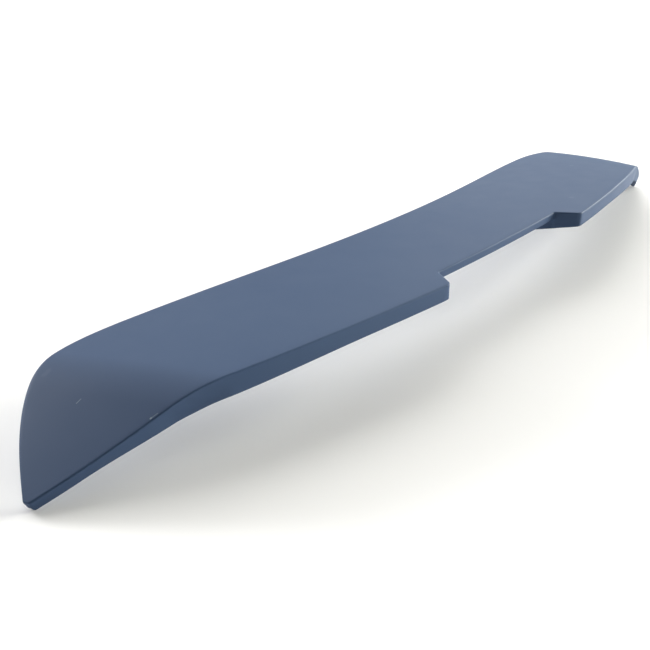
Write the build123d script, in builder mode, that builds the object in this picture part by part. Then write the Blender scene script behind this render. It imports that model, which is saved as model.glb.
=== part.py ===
from build123d import *
from math import atan, cos, radians, sin, sqrt, tan
import os

# Roof spoiler: one moulding that follows the top edge of a rear window.
# X runs along the span, +Y towards the front of the car, +Z up, all in millimetres.
# It is shaped about the middle of its rear line, drawn as if that line ran on across the notch,
# and then placed with the origin on the floor of the middle adhesive seat.

# Plan outline, right half, as three cubic curves that meet at the front corner and the tip
half_span = 556.0          # middle to where the plan's edges would meet at the tip
chord = 184.0              # rear line to leading edge, at the middle
tip_sweep = 114.0          # how far forward of the rear line's middle the tip lies
rear_straight = 142.0      # reach of the rear line's straight middle
rear_reach = 143.0         # reach of the rear line's tip end
rear_end_slope = 0.52      # forward run per sideways run at the tip
lead_straight = 140.0      # reach of the leading edge's straight middle
corner_x = 363.0           # where the leading edge turns into the end edge
corner_sweep = 44.5        # how far forward of the middle that point lies
corner_slope = 0.155       # forward run per sideways run there
lead_reach = 130.0         # reach of the leading edge before that point
corner_reach = 87.0        # reach of the end edge after it
end_inset = 60.0           # the end edge's last guide point, inboard of the tip
end_advance = 118.0        # and forward of the tip
end_chord = 7.0            # blunt end of the tip

# Deck: crowned across the span, cambered fore and aft, falling towards the front
deck_fall = 3.9            # degrees
crown_radius = 7100.0
camber_radius = 1725.0

# Turned-down ends
fold_x = 414.5             # where the fold crosses fold_y
fold_y = 60.0
fold_skew = 0.30           # sideways run of the fold line per forward run
fold_angle = 24.5          # degrees
fold_radius = 111.0

# Trailing face: lowest beside the notch, highest at the fold, tapered away to the tip
mouth_height = 16.7
bend_height = 20.9
tip_height = 11.2
growth_start = 235.0
taper_start = 418.0
taper_end = 512.0
rear_lean = 3.1            # degrees that the face is undercut from the deck's normal

# Section
panel_thickness = 9.4      # at the head of the underside's slope
lead_thickness = 6.0
end_thickness = 9.5        # the outer edge at the tip
lip_width = 58.0           # thick rear part of the wings
lip_settle = 4.5           # its underside falls this much from the trailing face to the slope
lip_ramp = 24.0            # slope from the wing's underside up to the panel's
nose_length = 5.5          # rolled leading edge
nose_pull = 0.6            # how far its curves' guide points reach, as a share of their height and length
nose_flat_top = 0.44       # its narrow upright middle starts this far down, as a share of the thickness
bevel_share = 0.5          # bevel below it, as a share of the nose's length
full_chord = 150.0         # shorter sections shrink their lip and nose in proportion
panel_share = 0.85         # the panel is at most this share of the trailing face

# Notch for the high brake lamp, and the recess under the middle that carries on from it
notch_thickness = 8.9      # middle of the panel, at the notch
notch_back_half = 119.0
notch_mouth_half = 135.0
notch_depth = 26.0         # from the mouth's corners to the back edge's corners
notch_bow = 3.5            # the back edge is this much nearer the rear at the middle
notch_margin = 12.0        # how far the cuts run past what they cut
notch_mouth_radius = 8.0
notch_back_radius = 4.0
rim_radius = 2.0           # rounding of the upper rear rim

# Flat-floored seats for the adhesive pads, sunk into the underside along the leading edge
seat_length = 190.0
seat_width = 16.0
seat_sink = 0.8
seat_corner = 3.0
seat_front_gap = 30.0      # leading edge to the middle of the seat
side_seat_x = 265.0

# Where sections stand: along the flat deck, across the bend, and down the turned end
flat_shares = [0.0, 0.2, 0.4, 0.6, 0.8]
bend_shares = [-0.45, 0.0, 0.25, 0.5, 0.75, 1.0]
end_shares = [0.15, 0.3, 0.45, 0.6, 0.75, 0.88]

halvings = 40
slope_step = 0.5
match = 1.0                # how near a corner has to be to where it is looked for

fold_heading = atan(fold_skew)
fold_start = -fold_radius * tan(radians(fold_angle) / 2)
fold_end = fold_start + fold_radius * sin(radians(fold_angle))
tip = Vector(half_span, tip_sweep)
corner = Vector(corner_x, chord + corner_sweep)
below = -3 * bend_height


def outboard(x, y):
    """Distance outboard of the fold line, measured square to it in plan."""
    return (abs(x) - fold_x - fold_skew * (y - fold_y)) * cos(fold_heading)


def deck_height(x, y):
    """Height of the upper surface: fall, crown and camber, less the drop of the turned-down end."""
    crown = x**2 / (2 * crown_radius)
    camber = (y - chord / 2) ** 2 / (2 * camber_radius)
    reach = min(max(outboard(x, y) - fold_start, 0), fold_end - fold_start)
    bend = fold_radius - sqrt(fold_radius**2 - reach**2)
    end_drop = max(outboard(x, y) - fold_end, 0) * tan(radians(fold_angle))
    return -y * tan(radians(deck_fall)) - crown - camber - bend - end_drop


def on_deck(point, side):
    return Vector(side * point.X, point.Y, deck_height(point.X, point.Y))


def deck_normal(point, side):
    """Upward normal of the deck, from its slopes over a small step."""
    x, y = point.X, point.Y
    slope_x = (deck_height(x + slope_step, y) - deck_height(x - slope_step, y)) / (2 * slope_step)
    slope_y = (deck_height(x, y + slope_step) - deck_height(x, y - slope_step)) / (2 * slope_step)
    return Vector(-side * slope_x, -slope_y, 1).normalized()


def ease(value, start, end):
    """Goes smoothly from 0 at start to 1 at end."""
    share = min(max((value - start) / (end - start), 0), 1)
    return share * share * (3 - 2 * share)


def trailing_height(x):
    grown = mouth_height + (bend_height - mouth_height) * ease(x, growth_start, taper_start)
    return grown - (bend_height - tip_height) * ease(x, taper_start, taper_end)


with BuildLine() as rear_plan:
    Bezier(
        (0, 0),
        (rear_straight, 0),
        (half_span - rear_reach, tip_sweep - rear_reach * rear_end_slope),
        tip,
    )
with BuildLine() as front_plan:
    Bezier(
        (0, chord),
        (lead_straight, chord),
        (corner_x - lead_reach, corner.Y - lead_reach * corner_slope),
        corner,
    )
    Bezier(
        corner,
        (corner_x + corner_reach, corner.Y + corner_reach * corner_slope),
        (half_span - end_inset, tip_sweep + end_advance),
        tip,
    )
rear_edge = rear_plan.edges()[0]
front_edges = front_plan.edges()


def station(rear_point, heading):
    """Where a plan line that leaves the rear line at a heading starts, and where it meets the front."""
    far = rear_point + Vector(sin(heading), cos(heading)) * 2 * chord
    line = Edge.make_line(rear_point, far)
    hits = [hit for edge in front_edges for hit in line.find_intersection_points(edge)]
    return rear_point, max(hits, key=lambda hit: hit.Y)


def rear_point_where(measure, value):
    """The rear line's point where a measure that grows towards the tip reaches a value, by halving."""
    low, high = 0.0, 1.0
    for _ in range(halvings):
        middle = (low + high) / 2
        if measure(rear_edge @ middle) < value:
            low = middle
        else:
            high = middle
    return rear_edge @ low


def across(point):
    return point.X


def past_fold(point):
    return outboard(point.X, point.Y)


def narrowness(point):
    """Less the plan length of the section that starts there."""
    rear_point, front_point = station(point, fold_heading)
    return -(front_point - rear_point).length


def rear_y(x):
    return rear_point_where(across, x).Y


def leading_point(x):
    """The leading edge's point at x, on either side of the middle."""
    return Vector(x, station(Vector(abs(x), 0), 0)[1].Y)


def section_plane(rear_point, front_point, side):
    """Upright plane of a section, local X from the trailing face to the leading edge, and its length."""
    start = on_deck(rear_point, side)
    along = on_deck(front_point, side) - start
    up = deck_normal((rear_point + front_point) / 2, side)
    return Plane(origin=start, x_dir=along, z_dir=along.cross(up)), along.length


def section_profile(rear_point, front_point, length):
    """Closed profile of the moulding: deck, rolled nose, underside, slope, foot and trailing face."""
    share = min(length / full_chord, 1)
    height = trailing_height(rear_point.X)
    to_tip = ease(past_fold(front_point), fold_start, past_fold(tip))
    front = lead_thickness + (end_thickness - lead_thickness) * to_tip
    panel = min(panel_thickness, height * panel_share) * (1 - to_tip) + front * to_tip
    bulge = (length * cos(fold_heading / 2)) ** 2 / (8 * camber_radius)
    nose = nose_length * sqrt(share)
    lip = lip_width * share
    ramp = lip_ramp * share
    lip_foot = -height - lip_settle * share
    ramp_head = 4 * bulge * (lip + ramp) * (length - lip - ramp) / length**2 - panel
    undercut = height * tan(radians(rear_lean))
    with BuildSketch() as profile:
        with BuildLine():
            deck = ThreePointArc((0, 0), ((length - nose) / 2, bulge), (length - nose, 0))
            roll = Bezier(
                deck @ 1,
                deck @ 1 + (deck % 1) * nose * nose_pull,
                (length, -front * nose_flat_top * (1 - nose_pull)),
                (length, -front * nose_flat_top),
            )
            flat = Line(roll @ 1, (length, -front * (1 - nose_flat_top)))
            under = Line(flat @ 1, (length - nose * bevel_share, -front))
            panel_end = Line(under @ 1, (lip + ramp, ramp_head))
            slope = Bezier(
                panel_end @ 1,
                (lip + ramp * 0.6, ramp_head),
                (lip + ramp * 0.4, lip_foot),
                (lip, lip_foot),
            )
            foot = Line(slope @ 1, (undercut, -height))
            Line(foot @ 1, deck @ 0)
        make_face()
    return profile.sketch


bend_span = fold_end - fold_start
end_span = past_fold(tip) - fold_end
bend_starts = rear_point_where(past_fold, fold_start + bend_shares[0] * bend_span).X

half_stations = []
for share in flat_shares:
    rear_point = rear_point_where(across, share * bend_starts)
    half_stations.append(station(rear_point, share * fold_heading))
for share in bend_shares:
    rear_point = rear_point_where(past_fold, fold_start + share * bend_span)
    half_stations.append(station(rear_point, fold_heading))
for share in end_shares:
    rear_point = rear_point_where(past_fold, fold_end + share * end_span)
    half_stations.append(station(rear_point, fold_heading))
half_stations.append(station(rear_point_where(narrowness, -end_chord), fold_heading))

both_sides = [(*points, -1) for points in reversed(half_stations[1:])]
both_sides += [(*points, 1) for points in half_stations]

mouth_y = rear_y(notch_mouth_half)
back_y = mouth_y + notch_depth
splay = (notch_mouth_half - notch_back_half) / notch_depth
cut_x = notch_mouth_half + (mouth_y + notch_margin) * splay
recess_front = lip_width + lip_ramp + notch_margin
recess_x = notch_back_half - (recess_front - back_y) * splay


def is_upright_at(edge, x, y):
    """True for a short edge that stands at plan position x, y on either side of the middle."""
    middle = edge.center()
    near = abs(abs(middle.X) - x) < match and abs(middle.Y - y) < match
    return near and edge.length < bend_height


def is_rear_rim(edge):
    """True for the upper edges of the notch and the trailing face."""
    points = [edge @ share for share in (0.2, 0.5, 0.8)]
    on_top = all(abs(point.Z - deck_height(point.X, point.Y)) < match / 2 for point in points)
    return on_top and all(point.Y < max(rear_y(abs(point.X)), back_y) + match for point in points)


# Space under the middle of the panel: its roof follows the deck, its side walls those of the notch
with BuildPart() as recess:
    for x in (-cut_x, 0, cut_x):
        with BuildSketch(Plane(origin=(x, 0, 0), x_dir=(0, 1, 0), z_dir=(1, 0, 0))):
            with BuildLine():
                stops = (-notch_margin, (recess_front - notch_margin) / 2, recess_front)
                roof = ThreePointArc(*[(y, deck_height(x, y) - notch_thickness) for y in stops])
                Polyline(roof @ 1, (recess_front, below), (-notch_margin, below), roof @ 0)
            make_face()
    loft()
    with BuildSketch(Plane.XY.offset(below)):
        with BuildLine():
            Polyline(
                (-recess_x, recess_front),
                (recess_x, recess_front),
                (cut_x, -notch_margin),
                (-cut_x, -notch_margin),
                close=True,
            )
        make_face()
    extrude(amount=-2 * below, mode=Mode.INTERSECT)

with BuildPart() as moulding:
    for rear_point, front_point, side in both_sides:
        plane, length = section_plane(rear_point, front_point, side)
        with BuildSketch(plane):
            add(section_profile(rear_point, front_point, length))
    loft()

    # Recess, then the notch through the rear lip with its bowed back edge
    add(recess.part, mode=Mode.SUBTRACT)
    with BuildSketch():
        with BuildLine():
            back_middle = (0, back_y - notch_bow)
            back = ThreePointArc((-notch_back_half, back_y), back_middle, (notch_back_half, back_y))
            Polyline(back @ 1, (cut_x, -notch_margin), (-cut_x, -notch_margin), back @ 0)
        make_face()
    extrude(amount=-below, both=True, mode=Mode.SUBTRACT)

    # Rounded corners of the notch, then one soft rim round it and along both trailing edges
    fillet(
        moulding.edges().filter_by(lambda edge: is_upright_at(edge, notch_mouth_half, mouth_y)),
        radius=notch_mouth_radius,
    )
    fillet(
        moulding.edges().filter_by(lambda edge: is_upright_at(edge, notch_back_half, back_y)),
        radius=notch_back_radius,
    )
    fillet(moulding.edges().filter_by(is_rear_rim), radius=rim_radius)


def seat_floor(x):
    """Plane of a seat's floor, square to the underside at its middle and along the leading edge."""
    inner, outer = leading_point(x - seat_length / 2), leading_point(x + seat_length / 2)
    along = (outer - inner).normalized()
    middle = leading_point(x) + Vector(along.Y, -along.X) * seat_front_gap
    upwards = Axis((middle.X, middle.Y, below), (0, 0, 1))
    underside, outward = moulding.part.find_intersection_points(upwards)[0]
    return Plane(origin=underside - outward * seat_sink, x_dir=along, z_dir=outward)


seat_floors = [seat_floor(x) for x in (0, -side_seat_x, side_seat_x)]

with BuildPart() as seated:
    add(moulding.part)
    for floor in seat_floors:
        with BuildSketch(floor):
            RectangleRounded(seat_length, seat_width, seat_corner)
        extrude(amount=lead_thickness, mode=Mode.SUBTRACT)

# The finished part, with the middle seat's floor at the origin
with BuildPart(Plane(origin=-seat_floors[0].origin)) as roof_spoiler:
    add(seated.part)

os.makedirs("parts", exist_ok=True)
roof_spoiler.part.label = "roof_spoiler"
export_step(roof_spoiler.part, "parts/roof_spoiler.step")
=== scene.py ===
# %% [markdown]
# # A primed roof spoiler
# The object is one moulding: a thin arched panel that follows the top of a rear window. Its ends are
# folded down, its rear edge is a thick lip with an upright face, and a notch in the middle leaves room
# for the high brake lamp. It is sprayed with a satin blue-grey primer.
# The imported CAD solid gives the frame, in metres. The looks are built round it and never move it.

# %% Load the frame
import bmesh
import bpy
import numpy as np
from math import atan, cos, pi, radians, sin, tan
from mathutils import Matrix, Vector


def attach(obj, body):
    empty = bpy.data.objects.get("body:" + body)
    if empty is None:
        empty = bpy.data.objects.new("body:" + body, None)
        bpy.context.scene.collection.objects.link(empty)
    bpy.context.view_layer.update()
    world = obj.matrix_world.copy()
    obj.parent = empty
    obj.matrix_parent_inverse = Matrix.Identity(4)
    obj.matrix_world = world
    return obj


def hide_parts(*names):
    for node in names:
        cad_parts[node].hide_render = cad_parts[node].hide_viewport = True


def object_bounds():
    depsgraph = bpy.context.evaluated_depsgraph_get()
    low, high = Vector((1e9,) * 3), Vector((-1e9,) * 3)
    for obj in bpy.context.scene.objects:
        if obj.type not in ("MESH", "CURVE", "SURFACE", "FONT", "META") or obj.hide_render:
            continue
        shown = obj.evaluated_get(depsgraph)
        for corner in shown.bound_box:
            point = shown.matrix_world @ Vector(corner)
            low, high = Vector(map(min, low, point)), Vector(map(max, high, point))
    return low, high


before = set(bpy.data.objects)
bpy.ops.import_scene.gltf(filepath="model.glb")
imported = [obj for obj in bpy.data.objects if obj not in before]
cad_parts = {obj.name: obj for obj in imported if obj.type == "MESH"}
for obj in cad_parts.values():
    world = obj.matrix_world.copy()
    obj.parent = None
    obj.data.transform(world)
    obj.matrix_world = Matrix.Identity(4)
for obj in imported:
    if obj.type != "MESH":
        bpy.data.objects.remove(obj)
cad_box = [list(corner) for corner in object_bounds()]
print("CAD box", cad_box)

# %% [markdown]
# The camera stands behind the near end and looks along the part. Its place, height and lens were found
# by fitting the part's outline to the photograph, so no shift is needed.

# %% Camera
camera_data = bpy.data.cameras.new("camera")
camera_data.lens = 49.59
camera_data.sensor_width = 36.0
camera_data.clip_end = 50.0
camera = bpy.data.objects.new("camera", camera_data)
camera.location = (-0.81384, -0.57692, 0.36388)
turn, pitch = radians(48.827), radians(26.406)
looks_along = Vector((sin(turn) * cos(pitch), cos(turn) * cos(pitch), -sin(pitch)))
camera.rotation_euler = looks_along.to_track_quat("-Z", "Y").to_euler()
bpy.context.scene.collection.objects.link(camera)
bpy.context.scene.camera = camera
print("camera looks along", [round(part, 3) for part in looks_along])

# %% [markdown]
# The deck's sizes are the ones that drive the CAD solid, in millimetres, measured from the middle of the
# rear line. The frame's origin is elsewhere, on the floor of the middle adhesive seat. Only the end edges
# differ: they curve in about 4 mm more at the tips than the solid's, as the photo's near end asks for.

# %% Sizes
SEAT = np.array([0.0, 154.04627, -18.44224])
HALF_SPAN, CHORD, TIP_SWEEP = 556.0, 184.0, 114.0
DECK_FALL, CROWN_RADIUS, CAMBER_RADIUS = radians(3.9), 7100.0, 1725.0
FOLD_X, FOLD_Y, FOLD_SKEW, FOLD_ANGLE, FOLD_RADIUS = 414.5, 60.0, 0.30, radians(24.5), 111.0
MOUTH_HEIGHT, BEND_HEIGHT, TIP_HEIGHT = 16.7, 20.9, 11.2
GROWTH_START, TAPER_START, TAPER_END = 235.0, 418.0, 512.0
REAR_LEAN = radians(3.1)
PANEL, LEAD, END_PANEL, PANEL_SHARE = 9.4, 6.0, 9.5, 0.85
LIP_WIDTH, LIP_SETTLE, LIP_RAMP = 58.0, 4.5, 24.0
NOSE_LENGTH, NOSE_PULL, NOSE_TOP, FULL_CHORD = 5.5, 0.6, 0.44, 150.0
NOTCH_PANEL, NOTCH_BACK, NOTCH_MOUTH, NOTCH_DEPTH, NOTCH_BOW = 8.9, 119.0, 135.0, 26.0, 3.5
BACK_CORNER, MOUTH_CORNER, RIM, FOOT_RIM = 4.0, 8.0, 2.0, 0.9
TIP_CUT = 3.8
FOLD_HEADING = atan(FOLD_SKEW)
FOLD_START = -FOLD_RADIUS * tan(FOLD_ANGLE / 2)
FOLD_END = FOLD_START + FOLD_RADIUS * sin(FOLD_ANGLE)
print("fold band from", round(FOLD_START, 1), "to", round(FOLD_END, 1), "mm about the fold line")

# %% [markdown]
# The upper surface is a height over the plan. Three gentle parabolas give fall, crown and camber, and
# each end turns down through a true arc. One formula covers the whole deck, so no seam can show.

# %% Deck formula
def ease(value, start, end):
    """Cubic step: 0 before start, 1 after end, 3s^2 - 2s^3 between."""
    share = np.clip((value - start) / (end - start), 0, 1)
    return share * share * (3 - 2 * share)


def outboard(x, y):
    """Plan distance outboard of the slanted fold line, square to it."""
    return (np.abs(x) - FOLD_X - FOLD_SKEW * (y - FOLD_Y)) * cos(FOLD_HEADING)


def deck(x, y):
    """Height: -y tan(fall) - x^2/2R - (y - c/2)^2/2Rc, less R - sqrt(R^2 - s^2) across the bend
    and the slope of the turned end beyond it."""
    past = outboard(x, y)
    reach = np.clip(past - FOLD_START, 0, FOLD_END - FOLD_START)
    bend = FOLD_RADIUS - np.sqrt(FOLD_RADIUS**2 - reach**2)
    end_drop = np.clip(past - FOLD_END, 0, None) * tan(FOLD_ANGLE)
    crown = x**2 / (2 * CROWN_RADIUS) + (y - CHORD / 2) ** 2 / (2 * CAMBER_RADIUS)
    return -y * tan(DECK_FALL) - crown - bend - end_drop


def on_deck(plan):
    return np.column_stack([plan, deck(plan[:, 0], plan[:, 1])])


def unit(vectors):
    return vectors / np.linalg.norm(vectors, axis=-1, keepdims=True)


print("deck height at the middle of the rear line", round(float(deck(0.0, 0.0)), 2), "mm")

# %% [markdown]
# In plan the part has three cubic curves a side: the rear line, the leading edge and the end edge. Such
# long easy curves are drawn with few handles, so that the reflections in the paint run evenly. They are
# sampled finely once, and everything else looks points up in these samples.

# %% Plan curves
def cubic(points, count):
    """Bezier curve: (1-t)^3 A + 3(1-t)^2 t B + 3(1-t) t^2 C + t^3 D."""
    t = np.linspace(0, 1, count)[:, None]
    a, b, c, d = np.array(points, float)
    return (1 - t) ** 3 * a + 3 * (1 - t) ** 2 * t * b + 3 * (1 - t) * t**2 * c + t**3 * d


REAR_HANDLE, TIP_HANDLE, LEAD_HANDLE = 142.0, np.array([143.0, 74.36]), 140.0
CORNER, CORNER_SLOPE, CORNER_BACK, CORNER_AHEAD = np.array([363.0, 228.5]), 0.155, 130.0, 84.0
END_HANDLE = np.array([-61.0, 116.0])
REAR_SAMPLES, FRONT_SAMPLES = 4000, 700
tip = np.array([HALF_SPAN, TIP_SWEEP])
rear_line = cubic([(0, 0), (REAR_HANDLE, 0), tip - TIP_HANDLE, tip], REAR_SAMPLES)
along_corner = np.array([1.0, CORNER_SLOPE])
before_corner, after_corner = CORNER - CORNER_BACK * along_corner, CORNER + CORNER_AHEAD * along_corner
leading_edge = cubic([(0, CHORD), (LEAD_HANDLE, CHORD), before_corner, CORNER], FRONT_SAMPLES)
seen_tip = np.array([HALF_SPAN - TIP_CUT, np.interp(HALF_SPAN - TIP_CUT, *rear_line.T)])
end_edge = cubic([CORNER, after_corner, seen_tip + END_HANDLE, seen_tip], FRONT_SAMPLES)
front_line = np.vstack([leading_edge, end_edge[1:]])


def rear_y(x):
    return np.interp(np.abs(x), rear_line[:, 0], rear_line[:, 1])


def front_of(rear_points, headings):
    """Where a ray from each rear point, turned by its heading from +Y, crosses the front line."""
    ray = np.column_stack([np.sin(headings), np.cos(headings)])
    offset = front_line[None] - rear_points[:, None]
    side = ray[:, None, 0] * offset[..., 1] - ray[:, None, 1] * offset[..., 0]
    after = np.argmax(side < 0, axis=1)
    before = np.maximum(after - 1, 0)
    rows = np.arange(len(rear_points))
    s0, s1 = np.maximum(side[rows, before], 0), np.minimum(side[rows, after], -1e-9)
    share = (s0 / (s0 - s1))[:, None]
    return front_line[before] * (1 - share) + front_line[after] * share


print("plan depth", round(front_line[:, 1].max() - rear_line[:, 1].min(), 1), "mm")

# %% [markdown]
# The skin is one closed tube of columns. Each column runs over the deck from the rear outline to the
# leading edge, rolls over the nose and comes back underneath. The rear outline turns into the notch and
# out again, so the columns are laid out along it: back edge, back corner, wall, mouth corner, rear line.

# %% Rear outline with the notch, right half
ARC_START = 4.2
EDGE_POINTS, BACK_POINTS, WALL_POINTS, MOUTH_POINTS = 40, 9, 12, 15
mouth_y = float(rear_y(NOTCH_MOUTH))
back_y = mouth_y + NOTCH_DEPTH
splay = (NOTCH_MOUTH - NOTCH_BACK) / NOTCH_DEPTH
wall = unit(np.array([NOTCH_MOUTH - NOTCH_BACK, -NOTCH_DEPTH]))
rear_slope = np.gradient(rear_line[:, 1], rear_line[:, 0])
along_rear = unit(np.array([1.0, float(np.interp(NOTCH_MOUTH, rear_line[:, 0], rear_slope))]))
bow_radius = (NOTCH_BACK**2 + NOTCH_BOW**2) / (2 * NOTCH_BOW)


def rounded(vertex, arriving, leaving, radius, count):
    """Arc of a radius that touches both sides of a corner: its ends lie radius tan(a/2) from the corner,
    for sides that turn by a, and its points turn evenly from one side's direction to the other's."""
    turn_by = np.arctan2(arriving[0] * leaving[1] - arriving[1] * leaving[0], arriving @ leaving)
    start = vertex - arriving * radius * abs(np.tan(turn_by / 2))
    normal = np.array([-arriving[1], arriving[0]]) * np.sign(turn_by)
    angles = np.linspace(0, turn_by, count)
    spokes = -normal[None] * np.cos(angles)[:, None]
    spokes += np.sign(turn_by) * np.sin(angles)[:, None] * arriving[None]
    return start + normal * radius + radius * spokes


back_x = np.linspace(0, NOTCH_BACK - ARC_START, EDGE_POINTS)
back_edge = np.column_stack([back_x, back_y - NOTCH_BOW + bow_radius - np.sqrt(bow_radius**2 - back_x**2)])
along_back = unit(np.array([1.0, NOTCH_BACK / bow_radius]))
back_arc = rounded(np.array([NOTCH_BACK, back_y]), along_back, wall, BACK_CORNER, BACK_POINTS)
mouth_arc = rounded(np.array([NOTCH_MOUTH, mouth_y]), wall, along_rear, MOUTH_CORNER, MOUTH_POINTS)
wall_line = back_arc[-1] + np.linspace(0, 1, WALL_POINTS)[1:-1, None] * (mouth_arc[0] - back_arc[-1])
print("notch corners end at", back_arc[-1].round(1), "and", mouth_arc[-1].round(1))

# %% [markdown]
# Beyond the notch the columns stand closer together across the bend and near the tip, where the surface
# turns most. The last few close up on the blunt end, whose edge they will round.

# %% Columns along the rear line
BEND_IN, BEND_OUT, BLUNT = 360.0, 455.0, HALF_SPAN - TIP_CUT - 4.32
CLOSING = np.array([1.28, 0.88, 0.48, 0.18, 0.0])
INNER_COLUMNS, BEND_COLUMNS, END_COLUMNS = 70, 60, 54
wing_x = np.concatenate(
    [
        np.linspace(mouth_arc[-1, 0], BEND_IN, INNER_COLUMNS)[1:],
        np.linspace(BEND_IN, BEND_OUT, BEND_COLUMNS)[1:],
        np.linspace(BEND_OUT, BLUNT - CLOSING[0], END_COLUMNS)[1:],
        BLUNT - CLOSING[1:],
    ]
)
inner = np.vstack([back_edge, back_arc, wall_line, mouth_arc])
corner_column = len(back_edge) + len(back_arc) - 1
inner_run = np.gradient(inner, axis=0)
into_solid = unit(np.column_stack([-inner_run[:, 1], inner_run[:, 0]]))
print("columns a side", len(inner) + len(wing_x), "of which round the notch", len(inner))

# %% [markdown]
# Each column needs its partner on the leading edge. On the wings the columns fan out until they run
# along the fold, as the sections of the moulding do. Round the notch they are spread evenly between.
# A section's frame stands on the deck's normal, so the trailing face leans with the turned-down end.

# %% Section frames
FAN_END, KNEE_GAP = 363.95, 12.0


def trailing_height(x):
    grown = MOUTH_HEIGHT + (BEND_HEIGHT - MOUTH_HEIGHT) * ease(x, GROWTH_START, TAPER_START)
    return grown - (BEND_HEIGHT - TIP_HEIGHT) * ease(x, TAPER_START, TAPER_END)


def sections(rear_x):
    """Frame of the section that starts at each rear x: origin, forward and upright unit vectors, and
    its sizes by name, each as a column that broadcasts against rows of points."""
    rear = np.column_stack([rear_x, rear_y(rear_x)])
    front = front_of(rear, FOLD_HEADING * np.minimum(rear_x / FAN_END, 1))
    start = on_deck(rear)
    along = on_deck(front) - start
    length = np.linalg.norm(along, axis=1)
    along = along / length[:, None]
    x, y = ((rear + front) / 2).T
    slope_x, slope_y = deck(x + 0.5, y) - deck(x - 0.5, y), deck(x, y + 0.5) - deck(x, y - 0.5)
    up = unit(np.column_stack([-slope_x, -slope_y, np.ones_like(x)]))
    upright = np.cross(unit(np.cross(along, up)), along)
    share = np.minimum(length / FULL_CHORD, 1)
    height = trailing_height(rear_x)
    to_tip = ease(outboard(*front.T), FOLD_START, outboard(*tip))
    edge = LEAD + (END_PANEL - LEAD) * to_tip
    panel = np.minimum(PANEL, height * PANEL_SHARE) * (1 - to_tip) + edge * to_tip
    bulge = (length * cos(FOLD_HEADING / 2)) ** 2 / (8 * CAMBER_RADIUS)
    lip, head = LIP_WIDTH * share, (LIP_WIDTH + LIP_RAMP) * share
    sizes = {
        "length": length,
        "height": height,
        "edge": edge,
        "bulge": bulge,
        "nose": NOSE_LENGTH * np.sqrt(share),
        "lip": lip,
        "head": head,
        "knee": head + KNEE_GAP * share,
        "lip_foot": -height - LIP_SETTLE * share,
        "ramp_head": 4 * bulge * head * (length - head) / length**2 - panel,
        "undercut": height * tan(REAR_LEAN),
    }
    return start, along, upright, {name: size[:, None] for name, size in sizes.items()}


def topside(sizes, run):
    """Local height of the deck: a shallow parabola over the chord, 4b r (c - r) / c^2."""
    chord = sizes["length"] - sizes["nose"]
    return 4 * sizes["bulge"] * run * (chord - run) / chord**2


def underside(sizes, run):
    """Local height of the underside: straight lip, S-shaped ramp, straight panel to the nose."""
    lip, head, height = sizes["lip"], sizes["head"], sizes["height"]
    on_lip = -height + (sizes["lip_foot"] + height) * np.clip(run / lip, 0, 1)
    up_ramp = ease(run, lip, head)
    on_ramp = sizes["lip_foot"] * (1 - up_ramp) + sizes["ramp_head"] * up_ramp
    end = sizes["length"] - sizes["nose"] / 2
    on_panel = sizes["ramp_head"] + (-sizes["edge"] - sizes["ramp_head"]) * (run - head) / (end - head)
    return np.where(run < lip, on_lip, np.where(run < head, on_ramp, on_panel))


def in_space(section, run, rise):
    start, along, upright, _ = section
    return start[:, None] + along[:, None] * run[..., None] + upright[:, None] * rise[..., None]


wings = sections(wing_x)
face_heights = wings[3]["height"]
print("trailing face", face_heights.min().round(1), "to", face_heights.max().round(1), "mm high")

# %% [markdown]
# Round the notch the columns aren't sections, so the heights there are looked up: for any plan point the
# section that passes through it is found by a few rounds of substitution, then its run and its heights.

# %% Heights over any plan point
RECESS_FRONT = 94.0


def section_through(plan):
    """Section through each plan point, and the point's run along it."""
    x, y = plan.T
    rear_x = x.copy()
    for _ in range(6):
        rear_x = x - (y - rear_y(rear_x)) * np.tan(FOLD_HEADING * rear_x / FAN_END)
    section = sections(rear_x)
    start, along = section[:2]
    run = np.linalg.norm(plan - start[:, :2], axis=1) / np.linalg.norm(along[:, :2], axis=1)
    return section, run[:, None]


def over(plan, surface):
    """Plan points of any shape (..., 2), raised to a surface: straight up, after one step that allows
    for the section's tilt."""
    flat = plan.reshape(-1, 2)
    section, run = section_through(flat)
    start, along, upright, sizes = section
    run = run - surface(sizes, run) * upright[:, 1:2] / along[:, 1:2]
    z = start[:, 2:] + run * along[:, 2:] + surface(sizes, run) * upright[:, 2:]
    return np.concatenate([flat, z], axis=1).reshape(*plan.shape[:-1], 3)


def roof(plan):
    """The recess's roof: the deck, lowered by the panel's thickness at the notch."""
    return np.concatenate([plan, (deck(plan[..., 0], plan[..., 1]) - NOTCH_PANEL)[..., None]], axis=-1)


print("panel at the recess's front end", over(np.array([[0.0, RECESS_FRONT]]), underside).round(2))

# %% [markdown]
# Every column is a closed ring of points in the same order: foot corner, trailing face, upper rim, deck,
# rolled nose, bevel, panel, ramp, lip. The corners are small quadratic curves, because a moulded edge is
# never sharp and it is the edges that catch the light.

# %% Rows of a ring
FOOT_ROWS, FACE_ROWS, SHOULDER_ROWS, RIM_ROWS, DECK_ROWS = 4, 5, 4, 6, 26
ROLL_ROWS, BEVEL_ROWS, PANEL_ROWS, KNEE_ROWS, RAMP_ROWS, LIP_ROWS = 9, 6, 10, 3, 9, 7
BEVEL_OUT, BEVEL_LOW = 0.1, 0.88


def shares(count):
    """Evenly spaced shares from 0 to 1."""
    return np.linspace(0, 1, count)


def steps(count):
    """The same without the 0, for rows that go on from a point that is already there."""
    return shares(count + 1)[1:]


def blend(a, b, share):
    """Rows of points from a to b, both with one row per column."""
    return a[:, None] + (b - a)[:, None] * share[None, :, None]


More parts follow.
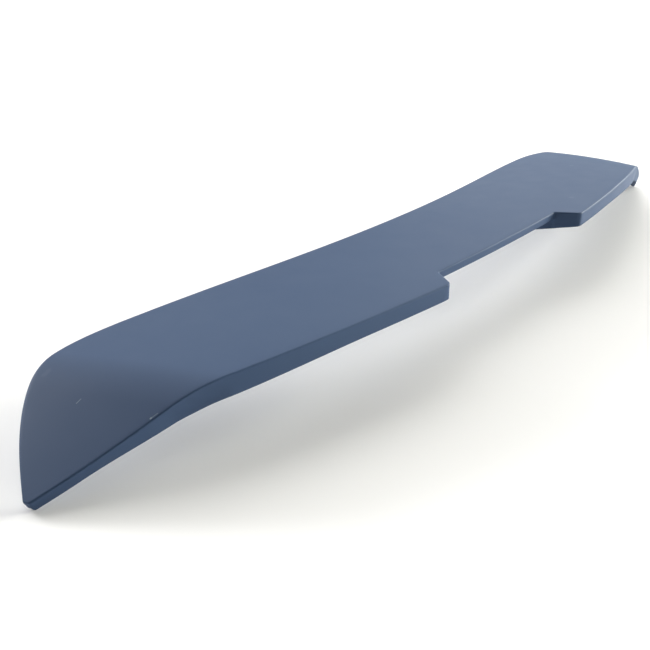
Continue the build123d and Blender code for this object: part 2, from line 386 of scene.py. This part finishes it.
def curve(points, share):
    """Bezier curve of 3 or 4 control points per column, at the given shares."""
    t = share[None, :, None]
    controls = [point[:, None] for point in points]
    while len(controls) > 1:
        controls = [a + (b - a) * t for a, b in zip(controls, controls[1:])]
    return controls[0]


def local(section, run, rise):
    """Point of each column at a run and rise. Each is a number or one value per column."""
    like = section[3]["length"]
    return in_space(section, run + 0 * like, rise + 0 * like)[:, 0]


def nose_rows(section):
    """Rolled nose: a cubic quarter roll, a short flat and a soft bevel that ends under the edge."""
    size = section[3]
    length, nose, edge = size["length"], size["nose"], size["edge"]
    slope = -4 * size["bulge"] / (length - nose)
    roll = [
        local(section, length - nose, 0),
        local(section, length - nose * (1 - NOSE_PULL), slope * nose * NOSE_PULL),
        local(section, length, -edge * NOSE_TOP * (1 - NOSE_PULL)),
        local(section, length, -edge * NOSE_TOP),
    ]
    bevel = [
        local(section, length, -edge * (1 - NOSE_TOP)),
        local(section, length - nose * BEVEL_OUT, -edge * BEVEL_LOW),
        local(section, length - nose / 2, -edge),
    ]
    return np.concatenate([curve(roll, steps(ROLL_ROWS)), curve(bevel, shares(BEVEL_ROWS))], axis=1)


def rim_rows(on_face, corner, on_top):
    return curve([on_face, corner, on_top], steps(RIM_ROWS))


above_rows = FOOT_ROWS + FACE_ROWS + SHOULDER_ROWS + RIM_ROWS + DECK_ROWS + ROLL_ROWS + BEVEL_ROWS
print("rows in a ring", above_rows + PANEL_ROWS + KNEE_ROWS + RAMP_ROWS + LIP_ROWS)

# %% [markdown]
# The wings' rings are worked out in their sections' own frames, just like the solid's profile.

# %% Rings of the wings
size = wings[3]
height, lean = size["height"], size["undercut"] / size["height"]
split = np.minimum(NOTCH_PANEL - FOOT_RIM, height / 2)
rim = np.minimum(RIM, size["length"] / 4)
foot_high = local(wings, lean * (height - FOOT_RIM), FOOT_RIM - height)
foot_run = size["undercut"] + FOOT_RIM
foot_low = local(wings, foot_run, underside(size, foot_run))
level, rim_low = local(wings, lean * split, -split), local(wings, lean * rim, -rim)
runs = rim + (size["length"] - size["nose"] - rim) * steps(DECK_ROWS)
panel_end = size["length"] - size["nose"] / 2
under_runs = np.concatenate(
    [
        panel_end + (size["knee"] - panel_end) * steps(PANEL_ROWS),
        size["knee"] + (size["head"] - size["knee"]) * steps(KNEE_ROWS),
        size["head"] + (size["lip"] - size["head"]) * steps(RAMP_ROWS),
        size["lip"] + (foot_run - size["lip"]) * steps(LIP_ROWS + 1)[:-1],
    ],
    axis=1,
)
wing_rings = np.concatenate(
    [
        curve([foot_low, local(wings, size["undercut"], -height), foot_high], shares(FOOT_ROWS)),
        blend(foot_high, level, steps(FACE_ROWS)),
        blend(level, rim_low, steps(SHOULDER_ROWS)),
        rim_rows(rim_low, local(wings, 0, 0), local(wings, rim, topside(size, rim))),
        in_space(wings, runs, topside(size, runs)),
        nose_rows(wings),
        in_space(wings, under_runs, underside(size, under_runs)),
    ],
    axis=1,
)
print("wing rings", wing_rings.shape)

# %% [markdown]
# The rings round the notch have upright faces. Those of the back edge end underneath in the recess's
# roof, and those of the notch's wall in the lip. At the corner between them one ring is doubled: both
# copies follow the same plan path, along the recess's wall, and the wall hangs between the two.

# %% Rings round the notch
CORNER_FRONT = 112.0
last = len(inner) - 1
travel = np.concatenate([[0], np.cumsum(np.linalg.norm(np.diff(inner, axis=0), axis=1))])
beside = sections(inner[last:, 0])
beside_front = local(beside, beside[3]["length"], 0)[0]
beside_knee = local(beside, beside[3]["knee"], -MOUTH_HEIGHT)[0]
front_x = np.interp(travel, travel[[0, corner_column, last]], [0, CORNER_FRONT, beside_front[0]])
front_y = np.interp(front_x, *front_line.T)
ahead, _ = section_through(np.column_stack([front_x, front_y]))
wall_front_x = NOTCH_BACK - (RECESS_FRONT - back_y) * splay
knee = np.column_stack(
    [
        np.interp(travel, travel[[0, corner_column, last]], [0, wall_front_x, beside_knee[0]]),
        np.interp(travel, travel[[corner_column, last]], [RECESS_FRONT, beside_knee[1]]),
    ]
)
print("recess is", round(2 * wall_front_x, 1), "mm wide at its front end")

# %% [markdown]
# The rows along the underside stand where the section has its lip, its ramp and its panel, so that the
# ramp stays an even line from ring to ring although the paths fan out.

# %% Underside paths round the notch
def lifted(points, height):
    return points + np.array([0.0, 0.0, height])


def rows_on(path_runs, path_shares, targets):
    """For each path, the shares at which its run reaches the target runs."""
    pairs = zip(path_runs, targets)
    return np.array([np.interp(goal, run[::-1], path_shares[::-1]) for run, goal in pairs])


fine = shares(61)
lips = np.arange(corner_column, last + 1)
paths = blend(knee[lips], inner[lips], fine)
path_runs = section_through(paths.reshape(-1, 2))[1].reshape(len(lips), -1)
first_run, last_run = path_runs[:, :1], path_runs[:, -1:]
lip_end, ramp_end = LIP_WIDTH, LIP_WIDTH + LIP_RAMP
targets = np.concatenate(
    [
        first_run + (ramp_end - first_run) * steps(KNEE_ROWS),
        ramp_end + (lip_end - ramp_end) * steps(RAMP_ROWS) + 0 * first_run,
        lip_end + (last_run - lip_end) * steps(LIP_ROWS + 1)[:-1],
    ],
    axis=1,
)
lip_shares = rows_on(path_runs, fine, targets)
path_shares = np.vstack([np.repeat(lip_shares[:1], corner_column + 1, axis=0), lip_shares])
columns = np.concatenate([np.arange(corner_column + 1), lips])
under_plan = knee[columns][:, None] + (inner - knee)[columns][:, None] * path_shares[..., None]
print("paths underneath", under_plan.shape)

# %% [markdown]
# The top of a ring is the same on both sides of the notch's corner, and only the rows below the split
# level differ: a small quarter round to the roof, or the rest of the wall and the lip's corner.

# %% Rings round the notch, joined to the wings
on_top, on_roof, on_lip = over(inner, topside), roof(inner), over(inner, underside)
level, rim_low = lifted(on_roof, FOOT_RIM), lifted(on_top, -RIM)
rim_top = over(inner + into_solid * RIM, topside)
nose_start = local(ahead, ahead[3]["length"] - ahead[3]["nose"], 0)
bevel_end = local(ahead, ahead[3]["length"] - ahead[3]["nose"] / 2, -ahead[3]["edge"])
upper_rows = np.concatenate(
    [
        blend(level, rim_low, steps(SHOULDER_ROWS)),
        rim_rows(rim_low, on_top, rim_top),
        over(blend(rim_top[:, :2], nose_start[:, :2], steps(DECK_ROWS)), topside),
        nose_rows(ahead),
        over(blend(bevel_end[:, :2], knee, steps(PANEL_ROWS)), underside),
    ],
    axis=1,
)
toward_knee = unit(knee - inner)
roof_foot = curve([roof(inner + toward_knee * FOOT_RIM), on_roof, level], shares(FOOT_ROWS + FACE_ROWS))
lip_low, lip_high = over(inner + into_solid * FOOT_RIM, underside), lifted(on_lip, FOOT_RIM)
lip_low[corner_column] = lip_high[corner_column] = on_lip[corner_column]
lip_corner = curve([lip_low, on_lip, lip_high], shares(FOOT_ROWS))
lip_foot = np.concatenate([lip_corner, blend(lip_high, level, steps(FACE_ROWS))], axis=1)
roof_path, lip_path = under_plan[: corner_column + 1], under_plan[corner_column + 1 :]
inner_rings = np.concatenate(
    [
        np.vstack([roof_foot[: corner_column + 1], lip_foot[lips]]),
        upper_rows[columns],
        np.concatenate([roof(roof_path), over(lip_path, underside)]),
    ],
    axis=1,
)
rings = np.vstack([inner_rings, wing_rings])
print("rings", rings.shape, "lowest", rings[..., 2].min().round(2))

# %% [markdown]
# The moulding ends bluntly at each tip. The last rings shrink a little towards their own middle, which
# rounds the end's edge, and a fan of triangles closes it. The left half is the right half mirrored. The
# skin stays a hundredth of a millimetre inside the CAD box.

# %% Whole tube as a mesh
INSIDE, DOUBLES, SLIVERS, SHARP_ANGLE = 0.00001, 2e-6, 1e-6, radians(38)
SHRINK = np.array([1, 0.975, 0.91, 0.76])[:, None, None]
closing = rings[-len(SHRINK) :]
middles = closing.mean(axis=1, keepdims=True)
rings[-len(SHRINK) :] = middles + (closing - middles) * SHRINK
tube = np.vstack([rings[:0:-1] * np.array([-1, 1, 1]), rings])
tube = np.clip((tube - SEAT) / 1000, np.array(cad_box[0]) + INSIDE, np.array(cad_box[1]) - INSIDE)
columns_all, rows = tube.shape[:2]
ids = np.arange(columns_all * rows).reshape(columns_all, rows)
near, far = ids[:-1], ids[1:]
quads = np.stack([near, far, np.roll(far, -1, axis=1), np.roll(near, -1, axis=1)], axis=-1).reshape(-1, 4)
first_end, last_end = ids[0], ids[-1]
points = np.vstack([tube.reshape(-1, 3), tube[0].mean(axis=0), tube[-1].mean(axis=0)])
fans = np.vstack(
    [
        np.stack([first_end, np.roll(first_end, -1), np.full(rows, ids.size)], axis=-1),
        np.stack([np.roll(last_end, -1), last_end, np.full(rows, ids.size + 1)], axis=-1),
    ]
)
mesh = bpy.data.meshes.new("moulding")
mesh.from_pydata(points.tolist(), [], quads.tolist() + fans.tolist())
work = bmesh.new()
work.from_mesh(mesh)
bmesh.ops.remove_doubles(work, verts=work.verts, dist=DOUBLES)
bmesh.ops.dissolve_degenerate(work, edges=work.edges, dist=SLIVERS)
bmesh.ops.recalc_face_normals(work, faces=work.faces)
loose, volume = sum(not edge.is_manifold for edge in work.edges), round(work.calc_volume() * 1e9)
print("faces", len(work.faces), "open or doubled edges", loose, "volume", volume, "mm3")
work.to_mesh(mesh)
work.free()
moulding = bpy.data.objects.new("moulding", mesh)
bpy.context.scene.collection.objects.link(moulding)

# %% [markdown]
# The adhesive pads sit in three long shallow seats sunk into the underside along the leading edge, so that
# their liners lie flush. Their floors are flat and cross the curved rows of the skin, so they are cut: a
# prism with rounded corners stands on each floor and a Boolean takes it away, before any shading.

# %% Adhesive seats
SEAT_LENGTH, SEAT_WIDTH, SEAT_CORNER, CUT_DEPTH = 0.190, 0.016, 0.003, 0.006
MIDDLE_DOWN = Vector((0, -0.05783, -0.99833)).normalized()
SIDE_X, SIDE_FLOOR, SIDE_DOWN = 265.0, (0.269954, 0.028392, -0.008369), (-0.0452, -0.07423, -0.99622)
CORNER_STEPS = 7


def seat_cutter(middle, down, along):
    """Prism on a seat's floor: a rectangle whose corners are quarter circles, swept downwards."""
    along = (along - down * along.dot(down)).normalized()
    across = down.cross(along)
    turns = np.arange(4)[:, None] * pi / 2 + np.linspace(0, pi / 2, CORNER_STEPS)[None]
    corner_u = np.array([1, -1, -1, 1])[:, None] * (SEAT_LENGTH / 2 - SEAT_CORNER)
    corner_v = np.array([1, 1, -1, -1])[:, None] * (SEAT_WIDTH / 2 - SEAT_CORNER)
    u = (corner_u + SEAT_CORNER * np.cos(turns)).ravel()
    v = (corner_v + SEAT_CORNER * np.sin(turns)).ravel()
    floor_ring = np.array(middle) + u[:, None] * np.array(along) + v[:, None] * np.array(across)
    low_ring = floor_ring + CUT_DEPTH * np.array(down)
    ring = np.arange(len(u))
    after = np.roll(ring, -1)
    walls = np.stack([ring, after, after + len(u), ring + len(u)], axis=-1)
    data = bpy.data.meshes.new("seat_cut")
    faces = walls.tolist() + [ring[::-1].tolist(), (ring + len(u)).tolist()]
    data.from_pydata(np.vstack([floor_ring, low_ring]).tolist(), [], faces)
    prism = bmesh.new()
    prism.from_mesh(data)
    bmesh.ops.recalc_face_normals(prism, faces=prism.faces)
    prism.to_mesh(data)
    prism.free()
    cutter = bpy.data.objects.new("seat_cut", data)
    bpy.context.scene.collection.objects.link(cutter)
    return cutter


half_seat = SEAT_LENGTH * 500
inner_y, outer_y = np.interp([SIDE_X - half_seat, SIDE_X + half_seat], *front_line.T)
sweep = float(outer_y - inner_y) / (2 * half_seat)
cutters = [seat_cutter((0, 0, 0), MIDDLE_DOWN, Vector((1, 0, 0)))]
for side in (-1, 1):
    seat_floor = (side * SIDE_FLOOR[0], *SIDE_FLOOR[1:])
    down = Vector((side * SIDE_DOWN[0], *SIDE_DOWN[1:])).normalized()
    cutters.append(seat_cutter(seat_floor, down, Vector((1, side * sweep, 0))))
for cutter in cutters:
    cut = moulding.modifiers.new("seat", "BOOLEAN")
    cut.operation, cut.solver, cut.object = "DIFFERENCE", "EXACT", cutter
cut_mesh = bpy.data.meshes.new_from_object(moulding.evaluated_get(bpy.context.evaluated_depsgraph_get()))
moulding.modifiers.clear()
moulding.data = cut_mesh
bpy.data.meshes.remove(mesh)
mesh = cut_mesh
mesh.name = "moulding"
for cutter in cutters:
    bpy.data.meshes.remove(cutter.data)
mesh.shade_smooth()
mesh.set_sharp_from_angle(angle=SHARP_ANGLE)
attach(moulding, "root")
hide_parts("roof_spoiler")
print("polygons after the cuts", len(mesh.polygons))

# %% [markdown]
# Shader sums read best as sums. This small class wraps one output of a node, so that plus, minus and times
# make Math nodes; a plain number is written on the socket. Every other node comes from its make method.

# %% Shader helper
class Wire:
    """An output socket that can be added, multiplied, limited and linked."""

    def __init__(self, socket):
        self.socket = socket

    @staticmethod
    def make(tree, kind, settings, inputs):
        """New node: its type, its settings, then its inputs by name or number, as values or wires."""
        node = tree.nodes.new(kind)
        for name, value in settings.items():
            setattr(node, name, value)
        for name, value in inputs.items():
            if isinstance(value, Wire):
                tree.links.new(value.socket, node.inputs[name])
            else:
                node.inputs[name].default_value = value
        return node

    def math(self, operation, first, second):
        tree, settings = self.socket.id_data, {"operation": operation}
        return Wire(self.make(tree, "ShaderNodeMath", settings, {0: first, 1: second}).outputs[0])

    def __add__(self, other):
        return self.math("ADD", self, other)

    __radd__ = __add__

    def __sub__(self, other):
        return self.math("SUBTRACT", self, other)

    def __rsub__(self, other):
        return self.math("SUBTRACT", other, self)

    def __mul__(self, other):
        return self.math("MULTIPLY", self, other)

    __rmul__ = __mul__

    def above(self, limit):
        return self.math("GREATER_THAN", self, limit)

    def most(self, other):
        return self.math("MAXIMUM", self, other)


def vector_math(tree, operation, inputs, output):
    return Wire(Wire.make(tree, "ShaderNodeVectorMath", {"operation": operation}, inputs).outputs[output])


def fade(tree, value, full, none):
    """1 where a value is at full, 0 at none, smooth between."""
    settings = {"interpolation_type": "SMOOTHSTEP"}
    inputs = {"Value": value, "From Min": full, "From Max": none, "To Min": 1.0, "To Max": 0.0}
    return Wire(Wire.make(tree, "ShaderNodeMapRange", settings, inputs).outputs["Result"])


def noise(tree, place, scale, detail):
    inputs = {"Vector": place, "Scale": scale, "Detail": detail}
    return Wire(Wire.make(tree, "ShaderNodeTexNoise", {}, inputs).outputs["Fac"])


def streak(tree, place, start, end, width):
    """Mask of a short mark: 1 along the segment from start to end, fading to 0 at its width."""
    run = Vector(end) - Vector(start)
    offset = vector_math(tree, "SUBTRACT", {0: place, 1: start}, "Vector")
    along = vector_math(tree, "DOT_PRODUCT", {0: offset, 1: run / run.length_squared}, "Value")
    held = Wire(Wire.make(tree, "ShaderNodeClamp", {}, {"Value": along}).outputs["Result"])
    foot = vector_math(tree, "SCALE", {0: run, "Scale": held}, "Vector")
    away = vector_math(tree, "DISTANCE", {0: offset, 1: foot}, "Value")
    return fade(tree, away, width * 0.4, width)


primer = bpy.data.materials.new("primer")
primer.use_nodes = True
tree = primer.node_tree
tree.nodes.clear()
place = Wire(Wire.make(tree, "ShaderNodeTexCoord", {}, {}).outputs["Object"])
print("shader helper ready for", primer.name)

# %% [markdown]
# The part is sold in primer: a satin, slightly chalky blue-grey that the buyer's paint will cover. Sprayed
# primer drifts a little in tone, is rougher where it went on dry, holds a few grains of dust, and has the
# fine dimples of orange peel. All of it is noise in object space, at the real sizes, so that it stays on
# the part wherever the part goes.

# %% Primer
BLUE_GREY, DRY_GREY, BARE = (0.054, 0.087, 0.161, 1), (0.058, 0.092, 0.166, 1), (0.27, 0.33, 0.38, 1)
CLOUD_SCALE, DRY_SCALE, PEEL_SCALE, DUST_CELLS, DUST_SHARE = 5.0, 38.0, 330.0, 55.0, 0.07
DUST_CORE, DUST_EDGE = 0.010, 0.028
cloud = noise(tree, place, CLOUD_SCALE, 2.0)
dry = noise(tree, place, DRY_SCALE, 3.0)
peel = noise(tree, place, PEEL_SCALE, 2.0)
grain = Wire.make(tree, "ShaderNodeTexVoronoi", {}, {"Vector": place, "Scale": DUST_CELLS})
drawn = Wire.make(tree, "ShaderNodeSeparateColor", {}, {"Color": Wire(grain.outputs["Color"])})
lot = Wire(drawn.outputs["Red"])
dust = fade(tree, Wire(grain.outputs["Distance"]), DUST_CORE, DUST_EDGE) * lot.above(1 - DUST_SHARE)
print("one dust grain in", round(1 / DUST_SHARE), "cells of", round(1000 / DUST_CELLS), "mm")

# %% [markdown]
# The photograph shows a few marks: a short nick on the turned-down end, one on its rear edge with a thin
# streak behind it, a faint scuff near the front corner and two faint spots on the far half. Each is a
# segment on the deck, found by sending a ray from the camera, and shows the lighter layer below.

# %% Marks
MARKS = {  # where each starts and ends, its width, all in metres, and its strength
    "nick": ((-0.4727, -0.0066, -0.0222), (-0.4684, -0.0068, -0.0201), 0.0008, 0.45),
    "edge nick": ((-0.4532, -0.0787, -0.0161), (-0.4526, -0.0788, -0.0158), 0.0011, 0.90),
    "trail": ((-0.4532, -0.0787, -0.0161), (-0.4474, -0.0806, -0.0134), 0.0008, 0.35),
    "scuff": ((-0.4657, 0.0500, -0.0190), (-0.4608, 0.0510, -0.0175), 0.0040, 0.10),
    "spot": ((0.1870, -0.1066, 0.0122), (0.1882, -0.1066, 0.0122), 0.0040, 0.07),
    "far spot": ((0.3520, -0.0228, 0.0003), (0.3535, -0.0228, 0.0003), 0.0045, 0.07),
}
masks = {}
for name, (start, end, width, strength) in MARKS.items():
    masks[name] = streak(tree, place, start, end, width) * strength
masks["scuff"] = masks["scuff"] * dry
nicks = masks["nick"].most(masks["edge nick"])
marks = nicks.most(masks["trail"]).most(masks["scuff"]).most(masks["spot"]).most(masks["far spot"])
print("marks", len(masks))

# %% [markdown]
# Primer is all pigment and little gloss, so one Principled shader with a weak, wide reflection is enough.
# The marks and the dust mix in the lighter colour, and the peel, the dust and the two nicks are its bump.

# %% Primer's shader
SPECULAR, SMOOTHEST, DRY_ROUGH, MARK_ROUGH = 0.08, 0.50, 0.10, 0.2
NICK_DEPTH, DUST_TONE, PEEL_DEPTH = 3.0, 0.22, 0.5


def color_mix(share, first, second):
    inputs = {"Factor": share, 6: first, 7: second}
    return Wire(Wire.make(tree, "ShaderNodeMix", {"data_type": "RGBA"}, inputs).outputs[2])


tone = color_mix(fade(tree, cloud, 0.35, 0.65), BLUE_GREY, DRY_GREY)
worn = color_mix(marks.most(dust * DUST_TONE), tone, BARE)
dents = peel * PEEL_DEPTH + dust - nicks * NICK_DEPTH
bump = Wire.make(tree, "ShaderNodeBump", {}, {"Strength": 0.35, "Distance": 0.00006, "Height": dents})
looks = {
    "Base Color": worn,
    "Roughness": dry * DRY_ROUGH + marks * MARK_ROUGH + SMOOTHEST,
    "Specular IOR Level": SPECULAR,
    "Normal": Wire(bump.outputs["Normal"]),
}
satin = Wire.make(tree, "ShaderNodeBsdfPrincipled", {}, looks)
Wire.make(tree, "ShaderNodeOutputMaterial", {}, {"Surface": Wire(satin.outputs[0])})
mesh.materials.append(primer)
print("primer has", len(tree.nodes), "nodes")

# %% [markdown]
# The part lies on its two tips on white paper. The floor is a plain plane at the tips' height, so the
# shadow below the arch shows how high the middle stands. For the camera alone the paper is lifted a
# little towards white, which softens that shadow without any more light on the part.

# %% Floor and backdrop
FLOOR_WHITE, FLOOR_LIFT, FLOOR_REACH = 0.92, 0.07, 9.0
lowest = float(tube[..., 2].min())
floor_mesh = bpy.data.meshes.new("floor")
turned = ((-1, -1), (1, -1), (1, 1), (-1, 1))
floor_corners = [(x * FLOOR_REACH, y * FLOOR_REACH, lowest) for x, y in turned]
floor_mesh.from_pydata(floor_corners, [], [(0, 1, 2, 3)])
floor = bpy.data.objects.new("floor", floor_mesh)
bpy.context.scene.collection.objects.link(floor)
paper = bpy.data.materials.new("paper")
paper.use_nodes = True
sheet = paper.node_tree
sheet.nodes.clear()
matte = {"Base Color": (FLOOR_WHITE,) * 3 + (1,), "Roughness": 0.9, "Specular IOR Level": 0.0}
lit = Wire.make(sheet, "ShaderNodeBsdfPrincipled", {}, matte)
plain = Wire.make(sheet, "ShaderNodeEmission", {}, {"Color": (1, 1, 1, 1), "Strength": 1.0})
to_camera = Wire(Wire.make(sheet, "ShaderNodeLightPath", {}, {}).outputs["Is Camera Ray"]) * FLOOR_LIFT
lifted_paper = {0: to_camera, 1: Wire(lit.outputs[0]), 2: Wire(plain.outputs[0])}
shown = Wire.make(sheet, "ShaderNodeMixShader", {}, lifted_paper)
Wire.make(sheet, "ShaderNodeOutputMaterial", {}, {"Surface": Wire(shown.outputs[0])})
floor_mesh.materials.append(paper)
print("floor at", round(lowest, 4), "m")

# %% [markdown]
# The light is that of a white studio. A broad soft key stands high behind the part. A narrower back light
# shines under the arch from low down, so the shadow falls clear of the part, towards the camera. A low one
# on the right lights the upright faces, and a soft box brightens the far half. The two on the right are a
# little warmer, which takes the blue bounce of the primer out of the shadow. A faint white room fills in.

# %% Lights
def soft_sun(name, direction, strength, angle, tint):
    """Distant soft light that comes from a direction, as wide as its angle."""
    data = bpy.data.lights.new(name, "SUN")
    data.energy, data.angle, data.color = strength, radians(angle), tint
    lamp = bpy.data.objects.new(name, data)
    lamp.rotation_euler = Vector(direction).to_track_quat("Z", "Y").to_euler()
    bpy.context.scene.collection.objects.link(lamp)


def soft_box(name, location, power, size, tint):
    """Square soft box that faces the middle of the part."""
    data = bpy.data.lights.new(name, "AREA")
    data.energy, data.size, data.color = power, size, tint
    lamp = bpy.data.objects.new(name, data)
    lamp.location = location
    lamp.rotation_euler = Vector(location).to_track_quat("Z", "Y").to_euler()
    bpy.context.scene.collection.objects.link(lamp)


KEY, BACK, LOW, BOX, ROOM = 1.95, 2.4, 9.8, 14.5, 0.09
WHITE, WARM, LESS_WARM = (1, 1, 1), (1.0, 0.985, 0.90), (1.0, 0.995, 0.93)
soft_sun("key", (0.32, 0.76, 0.82), KEY, 60, WHITE)
soft_sun("back", (-0.12, 0.92, 0.37), BACK, 18, WHITE)
soft_sun("low", (0.90, -0.38, 0.12), LOW, 36, WARM)
soft_box("box", (1.5, 0.5, 0.9), BOX, 1.2, LESS_WARM)
world = bpy.data.worlds.new("studio")
world.use_nodes = True
bpy.context.scene.world = world
room = world.node_tree
room.nodes.clear()
seen = Wire(Wire.make(room, "ShaderNodeLightPath", {}, {}).outputs["Is Camera Ray"])
white = Wire.make(room, "ShaderNodeBackground", {}, {"Color": (1, 1, 1, 1), "Strength": 1.0})
fill = Wire.make(room, "ShaderNodeBackground", {}, {"Color": (1, 1, 1, 1), "Strength": ROOM})
backdrop = {0: seen, 1: Wire(fill.outputs[0]), 2: Wire(white.outputs[0])}
both = Wire.make(room, "ShaderNodeMixShader", {}, backdrop)
Wire.make(room, "ShaderNodeOutputWorld", {}, {"Surface": Wire(both.outputs[0])})
bpy.context.scene.view_settings.view_transform = "Standard"
